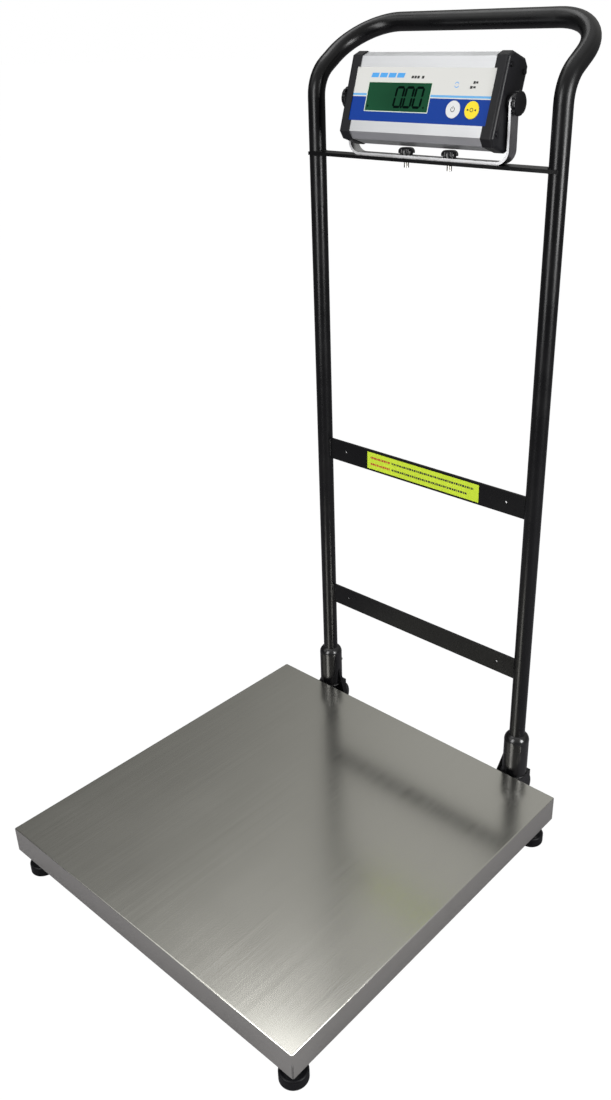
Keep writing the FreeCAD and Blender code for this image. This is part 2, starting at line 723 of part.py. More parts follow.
overlay = overlay_sheet(proud=0.0)
overlay = overlay.cut(through_front(window_left_x, window_right_x, window_bottom_z, window_top_z))
for x in key_places_x:
    overlay = overlay.cut(key_hole(x))
save("front_overlay", hung(overlay))

window = box((window_left_x, front_y, window_bottom_z),
             (window_right_x, front_y + window_thickness, window_top_z))
save("display_window", hung(window))
display_y = front_y + housing_wall + 0.2
display_rim = 4.0
board_y = display_y + display_thickness
display = box((window_left_x - display_rim, display_y, window_bottom_z - display_rim),
              (window_right_x + display_rim, board_y, window_top_z + display_rim))
save("display_module", hung(display))
battery_y = board_y + board_thickness
board = box((-half_housing, board_y, -board_half_height), (half_housing, battery_y, board_half_height))
save("main_board", hung(board))
battery_length, battery_depth, battery_height = battery_size
battery = box((-battery_length / 2, battery_y, -battery_height / 2),
              (battery_length / 2, battery_y + battery_depth, battery_height / 2))
save("battery_pack", hung(battery))

sockets = []
for x in socket_places_x:
    collar = rod(socket_collar_radius, (x, back_y - housing_wall, 0), (x, back_y + socket_collar_height, 0))
    collar = collar.fuse(rod(socket_collar_radius + 1.5, (x, back_y, 0), (x, back_y + 1.5, 0)))
    recess_y = back_y + socket_collar_height - socket_recess
    recess = rod(socket_hollow_radius, (x, recess_y, 0), (x, recess_y + socket_recess, 0))
    sockets.append(hung(collar.cut(recess)))
save("rear_sockets", *sockets)


# ---------------------------------------------------------------- end caps
def end_cap():
    """Right cap: a chamfered block with lightening pockets, a pivot boss and screw holes."""
    far_x = half_housing + cap_length
    cap = housing_section(-cap_overhang, half_housing, far_x)
    cap = fillet(cap, cap_edge_round, lambda edge: edge.BoundBox.XMin > far_x - 0.001)
    for z0, z1 in ((-30.0, -12.0), (12.0, 30.0)):
        cap = cap.cut(box((half_housing - 1, -13, z0), (far_x - 3, 13, z1)))
    boss_end_x = far_x + cap_boss_height
    cap = cap.fuse(rod(cap_boss_radius, (far_x - 1, 0, 0), (boss_end_x, 0, 0)))
    bore_end_x = boss_end_x - knob_stud_depth
    cap = cap.cut(rod(stud_radius + running_gap, (bore_end_x, 0, 0), (boss_end_x + 1, 0, 0)))
    for y in (-screw_port_y, screw_port_y):
        for z in (-screw_port_z, screw_port_z):
            cap = cap.cut(rod(screw_radius, (half_housing - 1, y, z), (far_x + 1, y, z)))
    return cap.removeSplitter().cut(overlay_sheet(proud=2 * cap_overhang))


cap = end_cap()
save("left_end_cap", hung(mirrored(cap)))
save("right_end_cap", hung(cap))

cap_screws = []
cap_face_x = half_housing + cap_length
for y in (-screw_port_y, screw_port_y):
    for z in (-screw_port_z, screw_port_z):
        screw = rod(screw_radius, (half_housing - screw_grip, y, z), (cap_face_x, y, z))
        screw = screw.fuse(rod(screw_head_radius, (cap_face_x, y, z), (cap_face_x + screw_head_height, y, z)))
        cap_screws.extend([hung(mirrored(screw)), hung(screw)])
save("end_cap_screws", *cap_screws)

# ---------------------------------------------------------------- keys
for name, x in (("power_key", power_key_x), ("zero_key", zero_key_x)):
    key = rod(key_radius, (x, front_y - key_proud, key_z), (x, front_y - key_proud + key_thickness, key_z))
    key = fillet(key, 0.4, lambda edge: edge.BoundBox.YMax < front_y - key_proud + 0.001)
    save(name, hung(key))


# ---------------------------------------------------------------- knobs and their studs
def fluted_knob(radius, height, top_round):
    """Knob standing on its neck along +Z, with scalloped sides and a rounded top."""
    grip = rod(radius, (0, 0, knob_neck_height), (0, 0, height))
    grip = fillet(grip, top_round, lambda edge: edge.BoundBox.ZMin > height - 0.001)
    for k in range(knob_flutes):
        angle = 2 * math.pi * k / knob_flutes
        x = (radius + knob_flute_radius * 0.45) * math.cos(angle)
        y = (radius + knob_flute_radius * 0.45) * math.sin(angle)
        grip = grip.cut(rod(knob_flute_radius, (x, y, -1), (x, y, height + 1)))
    return grip.fuse(rod(knob_neck_radius, (0, 0, 0), (0, 0, knob_neck_height))).removeSplitter()


stud_socket = 4.5
thumb_base_z = shelf_top_z + bracket_sheet + face_gap
for name, x in (("left", knob_places_x[0]), ("right", knob_places_x[1])):
    stud = rod(stud_radius, (x, handle_y, shelf_top_z - shelf_thickness - stud_end_below_shelf),
               (x, handle_y, thumb_base_z + stud_socket))
    knob = fluted_knob(thumb_knob_radius, thumb_knob_height, thumb_knob_round)
    knob.translate(Vector(x, handle_y, thumb_base_z))
    save(name + "_thumb_knob", knob.cut(stud))
    save(name + "_thumb_stud", stud)

tilt_base_x = bracket_half_x + face_gap
tilt_knob = fluted_knob(tilt_knob_radius, tilt_knob_thickness, tilt_knob_round)
tilt_knob.rotate(Vector(0, 0, 0), Vector(0, 1, 0), 90)
tilt_knob.translate(Vector(tilt_base_x, 0, 0))
stud_tip_x = bracket_half_x - bracket_sheet - face_gap - knob_stud_depth + 1
tilt_stud = rod(stud_radius, (stud_tip_x, 0, 0), (tilt_base_x + stud_socket, 0, 0))
tilt_knob = tilt_knob.cut(tilt_stud)
for name, knob, stud in (("left", mirrored(tilt_knob), mirrored(tilt_stud)), ("right", tilt_knob, tilt_stud)):
    save(name + "_tilt_knob", hung(knob))
    save(name + "_tilt_stud", hung(stud))
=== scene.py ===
import json
import math

import bmesh
import bpy
from mathutils import Matrix, Vector


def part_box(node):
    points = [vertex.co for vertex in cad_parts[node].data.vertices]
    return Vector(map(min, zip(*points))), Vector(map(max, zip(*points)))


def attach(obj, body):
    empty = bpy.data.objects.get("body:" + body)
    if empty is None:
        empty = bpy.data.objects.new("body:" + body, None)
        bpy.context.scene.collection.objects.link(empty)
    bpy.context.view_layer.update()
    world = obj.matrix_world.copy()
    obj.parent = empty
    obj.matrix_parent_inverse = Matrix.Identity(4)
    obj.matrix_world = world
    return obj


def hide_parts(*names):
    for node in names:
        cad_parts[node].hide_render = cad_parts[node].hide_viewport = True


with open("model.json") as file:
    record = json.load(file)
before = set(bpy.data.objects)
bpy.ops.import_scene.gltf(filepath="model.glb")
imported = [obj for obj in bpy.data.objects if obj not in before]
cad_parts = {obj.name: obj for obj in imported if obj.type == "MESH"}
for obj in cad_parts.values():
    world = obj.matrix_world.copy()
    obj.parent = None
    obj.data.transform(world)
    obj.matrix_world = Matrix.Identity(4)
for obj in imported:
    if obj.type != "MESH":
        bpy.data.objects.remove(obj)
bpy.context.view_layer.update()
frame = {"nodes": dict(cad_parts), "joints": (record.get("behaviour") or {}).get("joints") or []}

cad = frame["nodes"]

# ---------------------------------------------------------------- base frame and load cell
# Square steel tube welded into a low frame, painted black, with the aluminium load
# cell bolted to a channel across its middle. Nuts and bolts are zinc plated and the
# spider above the cell is galvanised; all of it hides under the tray.
mm = 0.001
frame_black = (0.014, 0.014, 0.015)
zinc_colour = (0.72, 0.71, 0.66)
galvanised_colour = (0.58, 0.59, 0.60)
milled_colour = (0.78, 0.78, 0.79)
edge_angle = math.radians(50)


def start_finish(name, colour, roughness, metallic=0.0):
    """A new finish with one plain shader, ready for its grain."""
    finish = bpy.data.materials.new(name)
    finish.use_nodes = True
    tree = finish.node_tree
    shader = tree.nodes["Principled BSDF"]
    shader.inputs["Base Color"].default_value = (*colour, 1.0)
    shader.inputs["Roughness"].default_value = roughness
    shader.inputs["Metallic"].default_value = metallic
    return finish, tree, shader


def noise_on(tree, scale, stretch=(1.0, 1.0, 1.0), detail=3.0):
    """Noise in the piece's own coordinates: features per metre, squeezed along each axis."""
    place = tree.nodes.new("ShaderNodeTexCoord")
    squeeze = tree.nodes.new("ShaderNodeMapping")
    noise = tree.nodes.new("ShaderNodeTexNoise")
    squeeze.inputs["Scale"].default_value = stretch
    noise.inputs["Scale"].default_value = scale
    noise.inputs["Detail"].default_value = detail
    tree.links.new(place.outputs["Object"], squeeze.inputs["Vector"])
    tree.links.new(squeeze.outputs["Vector"], noise.inputs["Vector"])
    return noise.outputs["Fac"]


def spread(tree, value, low, high):
    """Stretch the middle of a noise over the range from low to high."""
    fit = tree.nodes.new("ShaderNodeMapRange")
    fit.inputs["From Min"].default_value = 0.3
    fit.inputs["From Max"].default_value = 0.7
    fit.inputs["To Min"].default_value = low
    fit.inputs["To Max"].default_value = high
    tree.links.new(value, fit.inputs["Value"])
    return fit.outputs["Result"]


def shade_between(tree, value, dark, light):
    """Colour that goes from dark to light as the value goes from 0 to 1."""
    ramp = tree.nodes.new("ShaderNodeValToRGB")
    ramp.color_ramp.elements[0].color = (*dark, 1.0)
    ramp.color_ramp.elements[1].color = (*light, 1.0)
    tree.links.new(value, ramp.inputs["Fac"])
    return ramp.outputs["Color"]


def roughen(tree, shader, height, depth):
    """Surface relief of the given depth in metres."""
    bump = tree.nodes.new("ShaderNodeBump")
    bump.inputs["Distance"].default_value = depth
    tree.links.new(height, bump.inputs["Height"])
    tree.links.new(bump.outputs["Normal"], shader.inputs["Normal"])


def combine(tree, first, second, how="ADD"):
    """Sum of two values, or another simple operation on them; either may be a number."""
    node = tree.nodes.new("ShaderNodeMath")
    node.operation = how
    for value, socket in ((first, node.inputs[0]), (second, node.inputs[1])):
        if isinstance(value, (int, float)):
            socket.default_value = value
        else:
            tree.links.new(value, socket)
    return node.outputs[0]


def blend(tree, first, second, shares):
    """Sum of two values, each multiplied by its own share."""
    return combine(tree, combine(tree, first, shares[0], "MULTIPLY"),
                   combine(tree, second, shares[1], "MULTIPLY"))


def painted_steel(name, colour, roughness, peel, texture_scale=700.0, shine=0.36):
    """Paint with fine orange peel and a trace of dust."""
    finish, tree, shader = start_finish(name, colour, roughness)
    shader.inputs["Specular IOR Level"].default_value = shine
    skin = noise_on(tree, texture_scale, detail=2.0)
    dust = noise_on(tree, 24.0, detail=3.0)
    tree.links.new(combine(tree, spread(tree, dust, -0.05, 0.08), roughness), shader.inputs["Roughness"])
    dark = tuple(0.75 * c for c in colour)
    light = tuple(1.5 * c for c in colour)
    tree.links.new(shade_between(tree, dust, dark, light), shader.inputs["Base Color"])
    roughen(tree, shader, skin, peel)
    return finish


def plated_metal(name, colour, roughness, grain_scale, relief):
    """Metal with the grains of its plating and a few stains."""
    finish, tree, shader = start_finish(name, colour, roughness, 1.0)
    grains = tree.nodes.new("ShaderNodeTexVoronoi")
    place = tree.nodes.new("ShaderNodeTexCoord")
    grains.inputs["Scale"].default_value = grain_scale
    tree.links.new(place.outputs["Object"], grains.inputs["Vector"])
    stains = noise_on(tree, 45.0, detail=5.0)
    tone = blend(tree, grains.outputs["Distance"], stains, (0.4, 0.7))
    dark = tuple(0.72 * c for c in colour)
    tree.links.new(shade_between(tree, tone, dark, colour), shader.inputs["Base Color"])
    tree.links.new(combine(tree, spread(tree, stains, -0.07, 0.1), roughness), shader.inputs["Roughness"])
    roughen(tree, shader, stains, relief)
    return finish


def dress(finish, *names, edge=0.0):
    """Give CAD nodes a finish and, where wanted, a small worn edge."""
    for name in names:
        node = cad[name]
        node.data.materials.clear()
        node.data.materials.append(finish)
        if edge:
            worn = node.modifiers.new("worn edge", "BEVEL")
            worn.width = edge
            worn.segments = 2
            worn.limit_method = "ANGLE"
            worn.angle_limit = edge_angle
            worn.harden_normals = True


frame_paint = painted_steel("frame paint", frame_black, 0.42, 0.06 * mm)
zinc = plated_metal("zinc plate", zinc_colour, 0.32, 500.0, 0.03 * mm)
galvanised = plated_metal("galvanised steel", galvanised_colour, 0.38, 160.0, 0.03 * mm)
bare_aluminium = plated_metal("milled aluminium", milled_colour, 0.34, 900.0, 0.02 * mm)
dress(frame_paint, "base_left_rail", "base_right_rail", "base_cross_rails", "base_cell_channel",
      edge=0.4 * mm)
dress(zinc, "foot_weld_nuts", "foot_lock_nuts", "load_cell_bolts", "overload_stops", edge=0.25 * mm)
dress(bare_aluminium, "load_cell", "load_cell_spacers", edge=0.3 * mm)
dress(galvanised, "spider_channel", "spider_arms", edge=0.4 * mm)

# ---------------------------------------------------------------- rubber feet, cushions and gland
# Four moulded rubber feet on zinc studs level the scale, and four rubber cushions
# carry the tray. The cable gland is moulded nylon with a faint texture.
rubber_black = (0.004, 0.004, 0.005)
nylon_black = (0.016, 0.016, 0.017)
tread_rises = (4.0 * mm, 6.6 * mm, 9.2 * mm)
tread_radius = 0.32 * mm
tread_sink = 0.3 * mm
tread_swell_pitch = 1.0
bead_sides = 10
bead_end_radius = 0.35
bead_end_step = 0.3
bead_swell = 0.16


def moulded(name, colour, roughness, texture_scale, relief, bloom=0.4, shine=0.3):
    """Moulded rubber, plastic or ink: fine skin, and wear that lightens it by the bloom."""
    finish, tree, shader = start_finish(name, colour, roughness)
    shader.inputs["Specular IOR Level"].default_value = shine
    skin = noise_on(tree, texture_scale, detail=4.0)
    handling = noise_on(tree, 60.0, detail=5.0)
    light = tuple(min(1.0, c * (1.0 + bloom) + 0.004 * bloom) for c in colour)
    dark = tuple(c * (1.0 - 0.35 * bloom) for c in colour)
    tree.links.new(shade_between(tree, handling, dark, light), shader.inputs["Base Color"])
    tree.links.new(combine(tree, spread(tree, handling, -0.05, 0.07), roughness), shader.inputs["Roughness"])
    roughen(tree, shader, skin, relief)
    return finish


def make_piece(name, form, body, finish, stands_for=()):
    """Turn a finished bmesh into a piece that rides on its body."""
    mesh = bpy.data.meshes.new(name)
    form.normal_update()
    form.to_mesh(mesh)
    form.free()
    mesh.materials.append(finish)
    piece = bpy.data.objects.new(name, mesh)
    bpy.context.scene.collection.objects.link(piece)
    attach(piece, body)
    if stands_for:
        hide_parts(*stands_for)
    return piece


def bead_along(form, route, radius, ripple_pitch):
    """Rippled bead laid along a route of points, thinner at both ends."""
    rings = []
    travelled = 0.0
    last = len(route) - 1
    for k, spot in enumerate(route):
        ahead = route[min(k + 1, last)] - route[max(k - 1, 0)]
        ahead.normalize()
        across = ahead.orthogonal().normalized()
        up = ahead.cross(across)
        if k:
            travelled += (spot - route[k - 1]).length
        end_taper = min(1.0, bead_end_radius + bead_end_step * min(k, last - k))
        swell = radius * end_taper * (1.0 + bead_swell * math.sin(2 * math.pi * travelled / ripple_pitch))
        rings.append([form.verts.new(spot + (across * math.cos(t) + up * math.sin(t)) * swell)
                      for t in [2 * math.pi * s / bead_sides for s in range(bead_sides)]])
    for near, far in zip(rings, rings[1:]):
        for s in range(bead_sides):
            after = (s + 1) % bead_sides
            form.faces.new((near[s], near[after], far[after], far[s])).smooth = True
    form.faces.new(rings[0][::-1])
    form.faces.new(rings[-1])


def foot_tread(centre, low_z, radius):
    """Three moulded rings round the side of a foot."""
    form = bmesh.new()
    steps = 72
    for rise in tread_rises:
        turn = [centre + Vector((radius * math.cos(t), radius * math.sin(t), rise + low_z))
                for t in [2 * math.pi * k / steps for k in range(steps + 1)]]
        bead_along(form, turn, tread_radius, tread_swell_pitch)
    return form


rubber = moulded("black rubber", rubber_black, 0.42, 1600.0, 0.08 * mm, 0.4, 0.18)
nylon = moulded("black nylon", nylon_black, 0.4, 2500.0, 0.04 * mm)
feet = ("front_left", "front_right", "rear_left", "rear_right")
dress(rubber, "tray_cushions", *[place + "_foot_pad" for place in feet])
dress(zinc, *[place + "_foot_stud" for place in feet])
dress(nylon, "cable_gland")

for place in feet:
    pad_low, pad_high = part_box(place + "_foot_pad")
    middle = (pad_low + pad_high) / 2
    middle.z = 0.0
    tread = foot_tread(middle, pad_low.z, (pad_high.x - pad_low.x) / 2 - tread_sink)
    make_piece(place + "_foot_tread", tread, place + "_foot", rubber)

# ---------------------------------------------------------------- tray
# Stainless sheet folded down on four sides, its corners welded and ground flush.
# The brushed grain runs front to back on the top and along each skirt.
# The tray lies loose on the cushions.
tray_low, tray_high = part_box("tray")
tray_fold = 1.6 * mm
tray_sheet = 1.2 * mm
widest_fold_face = 0.005
stainless_colour = (0.60, 0.59, 0.545)
stainless_dark = (0.575, 0.565, 0.522)
stainless_light = (0.665, 0.655, 0.606)
stainless_roughness = 0.2
steep = 0.7


def brushed_stainless():
    """Brushed steel, its grain run along each face and lightly handled."""
    finish, tree, shader = start_finish("brushed stainless", stainless_colour, stainless_roughness, 1.0)
    shader.inputs["Anisotropic"].default_value = 0.2
    facing = tree.nodes.new("ShaderNodeNewGeometry")
    split = tree.nodes.new("ShaderNodeSeparateXYZ")
    tree.links.new(facing.outputs["Normal"], split.inputs["Vector"])
    on_top = combine(tree, split.outputs["Z"], steep, "GREATER_THAN")
    on_skirt = combine(tree, 1.0, on_top, "SUBTRACT")
    top_grain = noise_on(tree, 1.0, (450.0, 5.0, 5.0), 5.0)
    skirt_grain = noise_on(tree, 1.0, (9.0, 9.0, 900.0), 4.0)
    grain = combine(tree, combine(tree, top_grain, on_top, "MULTIPLY"),
                    combine(tree, skirt_grain, on_skirt, "MULTIPLY"))
    handling = noise_on(tree, 7.0, detail=5.0)
    wear = combine(tree, spread(tree, grain, -0.02, 0.02), spread(tree, handling, -0.015, 0.03))
    tree.links.new(combine(tree, wear, stainless_roughness), shader.inputs["Roughness"])
    tone = blend(tree, grain, handling, (0.65, 0.35))
    tree.links.new(shade_between(tree, tone, stainless_dark, stainless_light), shader.inputs["Base Color"])
    roughen(tree, shader, grain, 0.002 * mm)
    across = tree.nodes.new("ShaderNodeTangent")
    across.direction_type = "UV_MAP"
    across.uv_map = "across the grain"
    tree.links.new(across.outputs["Tangent"], shader.inputs["Tangent"])
    return finish


def folded_pan():
    """Open-bottomed pan whose texture space runs across the grain, face by face."""
    form = bmesh.new()
    bmesh.ops.create_cube(form, size=1.0)
    centre = (tray_low + tray_high) / 2
    for vert in form.verts:
        vert.co = Vector([centre[k] + vert.co[k] * (tray_high[k] - tray_low[k]) for k in range(3)])
    under = [face for face in form.faces if face.normal.z < -0.5]
    bmesh.ops.delete(form, geom=under, context="FACES_ONLY")
    folds = [edge for edge in form.edges if len(edge.link_faces) == 2]
    bmesh.ops.bevel(form, geom=folds, offset=tray_fold, segments=4, profile=0.5, affect="EDGES")
    form.normal_update()
    across = form.loops.layers.uv.new("across the grain")
    for face in form.faces:
        normal = face.normal
        for loop in face.loops:
            spot = loop.vert.co
            if abs(normal.z) > steep:
                loop[across].uv = (spot.x, spot.y)
            elif abs(normal.y) > abs(normal.x):
                loop[across].uv = (spot.z, spot.x)
            else:
                loop[across].uv = (spot.z, spot.y)
    return form


pan = make_piece("tray_pan", folded_pan(), "tray", brushed_stainless(), ["tray"])
for face in pan.data.polygons:
    face.use_smooth = face.area < widest_fold_face
thickness = pan.modifiers.new("sheet", "SOLIDIFY")
thickness.thickness = tray_sheet
thickness.offset = -1.0

# ---------------------------------------------------------------- wheel forks, sleeves and wheels
# Folded steel forks hold two small wheels behind the tray. Turned sleeves with
# domed tops are welded on the forks and take the legs of the handle; both are
# enamelled black, the turned sleeves glossier.
enamel_black = (0.0018, 0.0018, 0.0022)
tyre_black = (0.020, 0.020, 0.021)
hub_black = (0.028, 0.028, 0.030)
sleeve_weld_rise, sleeve_weld_radius, sleeve_weld_ripple = 0.6 * mm, 1.6 * mm, 3.2 * mm

enamel = painted_steel("black enamel", enamel_black, 0.27, 0.0015 * mm, 400.0)
gloss_enamel = painted_steel("gloss enamel on turned steel", enamel_black, 0.24, 0.0015 * mm, 400.0, 0.7)
tyre_rubber = moulded("wheel tyre", tyre_black, 0.45, 1800.0, 0.06 * mm)
hub_plastic = moulded("wheel hub plastic", hub_black, 0.35, 2500.0, 0.03 * mm)
dress(enamel, "wheel_forks", "socket_gussets", edge=0.5 * mm)
dress(gloss_enamel, "handle_sleeves")
dress(zinc, "wheel_axles", "axle_nuts", "sleeve_clamp_bolts", edge=0.25 * mm)
dress(tyre_rubber, "left_wheel_tyre", "right_wheel_tyre")
dress(hub_plastic, "left_wheel_hub", "right_wheel_hub", edge=0.3 * mm)

sleeve_low, sleeve_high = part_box("handle_sleeves")
sleeve_radius = (sleeve_high.y - sleeve_low.y) / 2
leg_x = sleeve_high.x - sleeve_radius
leg_y = (sleeve_low.y + sleeve_high.y) / 2


def ring_route(centre, radius, start=0.0, end=360.0, step=4.0):
    """Points round a level ring, from one angle to another in degrees."""
    count = round(abs(end - start) / step)
    turns = [math.radians(start + (end - start) * k / count) for k in range(count + 1)]
    return [Vector(centre) + Vector((radius * math.cos(t), radius * math.sin(t), 0.0)) for t in turns]


sleeve_welds = bmesh.new()
for side in (-1, 1):
    sleeve_foot = (side * leg_x, leg_y, sleeve_low.z + sleeve_weld_rise)
    bead_along(sleeve_welds, ring_route(sleeve_foot, sleeve_radius), sleeve_weld_radius, sleeve_weld_ripple)
make_piece("sleeve_weld_beads", sleeve_welds, "base", enamel)

# ---------------------------------------------------------------- handle, crossbars and shelf
# One length of round tube bent into the legs and the grip, in semi-gloss black
# enamel. Two flat bars and the coped shelf are welded between the legs.
dress(enamel, "handle_tube")
dress(enamel, "lower_crossbar", "middle_crossbar", "indicator_shelf", edge=0.35 * mm)

tube_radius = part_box("handle_tube")[1].x - leg_x
bar_weld_radius, bar_weld_ripple = 1.3 * mm, 2.6 * mm
bar_weld_end, bar_weld_step = 1.0 * mm, 0.7 * mm
shelf_weld_radius, shelf_weld_ripple = 0.9 * mm, 2.2 * mm
shelf_weld_proud, shelf_weld_wide = 0.2 * mm, 0.1 * mm
shelf_weld_reach = 75
bar_welds = bmesh.new()


def straight_route(start, end, step):
    """Points along a straight line, about a step apart."""
    count = max(2, round((Vector(end) - Vector(start)).length / step))
    return [Vector(start).lerp(Vector(end), k / count) for k in range(count + 1)]


for bar in ("lower_crossbar", "middle_crossbar"):
    bar_low, bar_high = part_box(bar)
    half_bar = (bar_high.y - bar_low.y) / 2
    meet_x = leg_x - math.sqrt(tube_radius ** 2 - half_bar ** 2)
    for side in (-1, 1):
        for face in (-1, 1):
            seam = (side * meet_x, leg_y + face * half_bar)
            route = straight_route((*seam, bar_low.z + bar_weld_end), (*seam, bar_high.z - bar_weld_end),
                                   bar_weld_step)
            bead_along(bar_welds, route, bar_weld_radius, bar_weld_ripple)
make_piece("crossbar_weld_beads", bar_welds, "base", enamel)

shelf_low, shelf_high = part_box("indicator_shelf")
shelf_welds = bmesh.new()
for side in (-1, 1):
    inward = 180.0 if side > 0 else 0.0
    for level in (shelf_low.z - shelf_weld_proud, shelf_high.z + shelf_weld_proud):
        route = ring_route((side * leg_x, leg_y, level), tube_radius + shelf_weld_wide,
                           inward - shelf_weld_reach, inward + shelf_weld_reach)
        bead_along(shelf_welds, route, shelf_weld_radius, shelf_weld_ripple)
make_piece("shelf_weld_beads", shelf_welds, "base", enamel)

# ---------------------------------------------------------------- label strip
# A printed strip of fluorescent film stuck on the middle bar. Its print is two plain
# rows of dashes, the left part of each in red.
label_yellow = (0.575, 0.745, 0.042)
label_black = (0.03, 0.03, 0.025)
label_dark_red = (0.42, 0.06, 0.03)
row_rises = (4.6 * mm, -4.6 * mm)
red_start, red_end = 6 * mm, 40 * mm
black_start, black_right_margin, black_row_step = 43 * mm, 8 * mm, 10 * mm
red_height, black_height = 3.0 * mm, 2.8 * mm
shortest_dash, dash_growth, dash_gap = 1.6 * mm, 1.9 * mm, 0.9 * mm
ink_thickness = 0.06 * mm

label_low, label_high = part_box("label_strip")
label_film = moulded("fluorescent label film", label_yellow, 0.42, 900.0, 0.01 * mm, 0.12)
label_ink = moulded("black label ink", label_black, 0.5, 900.0, 0.01 * mm)
label_red = moulded("red label ink", label_dark_red, 0.5, 900.0, 0.01 * mm)
dress(label_film, "label_strip")


def add_block(form, low, high):
    """Six-sided block between two corners."""
    corners = [form.verts.new((x, y, z)) for x in (low[0], high[0]) for y in (low[1], high[1])
               for z in (low[2], high[2])]
    for ring in ((0, 1, 3, 2), (4, 6, 7, 5), (0, 4, 5, 1), (2, 3, 7, 6), (0, 2, 6, 4), (1, 5, 7, 3)):
        form.faces.new([corners[k] for k in ring])


def dash_row(form, start_x, end_x, mid_z, height, first):
    """A row of dashes of uneven length, like set type seen from a distance."""
    x = start_x
    k = first
    while x < end_x:
        length = shortest_dash + dash_growth * ((k * 7) % 5) / 4
        stop = min(x + length, end_x)
        add_block(form, (x, label_low.y - ink_thickness, mid_z - height / 2),
                  (stop, label_low.y, mid_z + height / 2))
        x = stop + dash_gap
        k += 1


label_middle = (label_low.z + label_high.z) / 2
red_rows = bmesh.new()
black_rows = bmesh.new()
for row, rise in enumerate(row_rises):
    row_z = label_middle + rise
    black_end = label_high.x - black_right_margin - black_row_step * row
    dash_row(red_rows, label_low.x + red_start, label_low.x + red_end, row_z, red_height, row)
    dash_row(black_rows, label_low.x + black_start, black_end, row_z, black_height, row + 3)
make_piece("label_red_rows", red_rows, "base", label_red)
make_piece("label_black_rows", black_rows, "base", label_ink)

# ---------------------------------------------------------------- indicator housing, caps and bracket
# A satin aluminium extrusion closed by two moulded end caps, hung in a U of satin
# steel strip on the shelf. The extrusion keeps fine lines from the die, and the strip
# has dull faces; its sheared front and back edges are painted lighter, a painted highlight.
extrusion_silver = (0.88, 0.89, 0.91)
strip_grey = (0.5, 0.5, 0.51)
strip_face = (0.40, 0.40, 0.41)
# painted highlight: the lighter colour given to the strip's front and back edges
strip_edge_painted_highlight = (0.92, 0.92, 0.93)
cap_black = (0.006, 0.006, 0.0075)
screw_black = (0.05, 0.05, 0.055)
board_green = (0.02, 0.16, 0.06)
battery_blue = (0.03, 0.10, 0.35)


def drawn_aluminium():
    """Satin extrusion with lines left by the die along its length."""
    roughness = 0.36
    finish, tree, shader = start_finish("satin aluminium extrusion", extrusion_silver, roughness, 1.0)
    lines = noise_on(tree, 1.0, (10.0, 2600.0, 2600.0), 3.0)
    smudges = noise_on(tree, 30.0, detail=4.0)
    tone = blend(tree, lines, smudges, (0.6, 0.4))
    dark = tuple(0.84 * c for c in extrusion_silver)
    tree.links.new(shade_between(tree, tone, dark, extrusion_silver), shader.inputs["Base Color"])
    tree.links.new(combine(tree, spread(tree, tone, -0.05, 0.06), roughness), shader.inputs["Roughness"])
    roughen(tree, shader, lines, 0.02 * mm)
    return finish


def strip_with_painted_edge_highlight():
    """Satin strip with dull oxide on its faces; its sheared front and back edges are painted lighter, a
    painted highlight.
    """
    finish, tree, shader = start_finish("satin steel strip with painted edge highlight", strip_grey, 0.3, 1.0)
    facing = tree.nodes.new("ShaderNodeNewGeometry")
    split = tree.nodes.new("ShaderNodeSeparateXYZ")
    tree.links.new(facing.outputs["Normal"], split.inputs["Vector"])
    # The strip's front and back edges, picked by the way they face, get a painted highlight in their colour
    # and a higher roughness.
    painted_highlight_edges = combine(tree, combine(tree, split.outputs["Y"], 0.0, "ABSOLUTE"), 0.45, "GREATER_THAN")
    lines = noise_on(tree, 1.0, (40.0, 2600.0, 40.0), 3.0)
    smudges = noise_on(tree, 40.0, detail=4.0)
    tone = combine(tree, spread(tree, smudges, 0.0, 0.25), combine(tree, painted_highlight_edges, 0.75, "MULTIPLY"))
    tree.links.new(shade_between(tree, tone, strip_face, strip_edge_painted_highlight), shader.inputs["Base Color"])
    satin = combine(tree, spread(tree, lines, 0.24, 0.34), combine(tree, painted_highlight_edges, 0.24, "MULTIPLY"))
    tree.links.new(satin, shader.inputs["Roughness"])
    roughen(tree, shader, lines, 0.004 * mm)
    return finish


cap_plastic = moulded("cap plastic", cap_black, 0.36, 2200.0, 0.05 * mm)
black_screw = plated_metal("blackened screw", screw_black, 0.4, 900.0, 0.02 * mm)
board_lacquer = moulded("green board lacquer", board_green, 0.3, 1500.0, 0.03 * mm)
battery_wrap = moulded("blue battery wrap", battery_blue, 0.35, 600.0, 0.02 * mm)
dress(drawn_aluminium(), "indicator_housing", edge=0.3 * mm)
dress(cap_plastic, "left_end_cap", "right_end_cap", "rear_sockets")
dress(black_screw, "end_cap_screws", edge=0.15 * mm)
dress(strip_with_painted_edge_highlight(), "indicator_bracket", edge=0.8 * mm)
dress(board_lacquer, "main_board", "display_module")
dress(battery_wrap, "battery_pack")

# ---------------------------------------------------------------- front overlay and display
# A printed film, pale grey above a light blue line and strong blue below, covers the
# front of the indicator. The liquid crystal display is green with dark slanted digits.
# Places on the indicator's face are in millimetres from its middle, from here on.
tilt_joint = next(joint for joint in frame["joints"] if joint["name"] == "display_tilt")
pivot = Vector(tilt_joint["pos_m"])
lean_back = math.radians(-18.0)
on_indicator = Matrix.Translation(pivot) @ Matrix.Rotation(lean_back, 4, "X")
face_y = -19.0
line_low, line_high, white_low = -1.6, 0.4, -2.8
print_blue, print_white, print_sky = (0.001, 0.040, 0.285), (0.69, 0.69, 0.665), (0.15, 0.42, 0.75)
film_grey = (0.8, 0.8, 0.8)
film_roughness = 0.4


def face_spot(x, z, proud):
    """Place on the front of the indicator, in millimetres from its middle."""
    return on_indicator @ Vector((x * mm, (face_y - proud) * mm, z * mm))


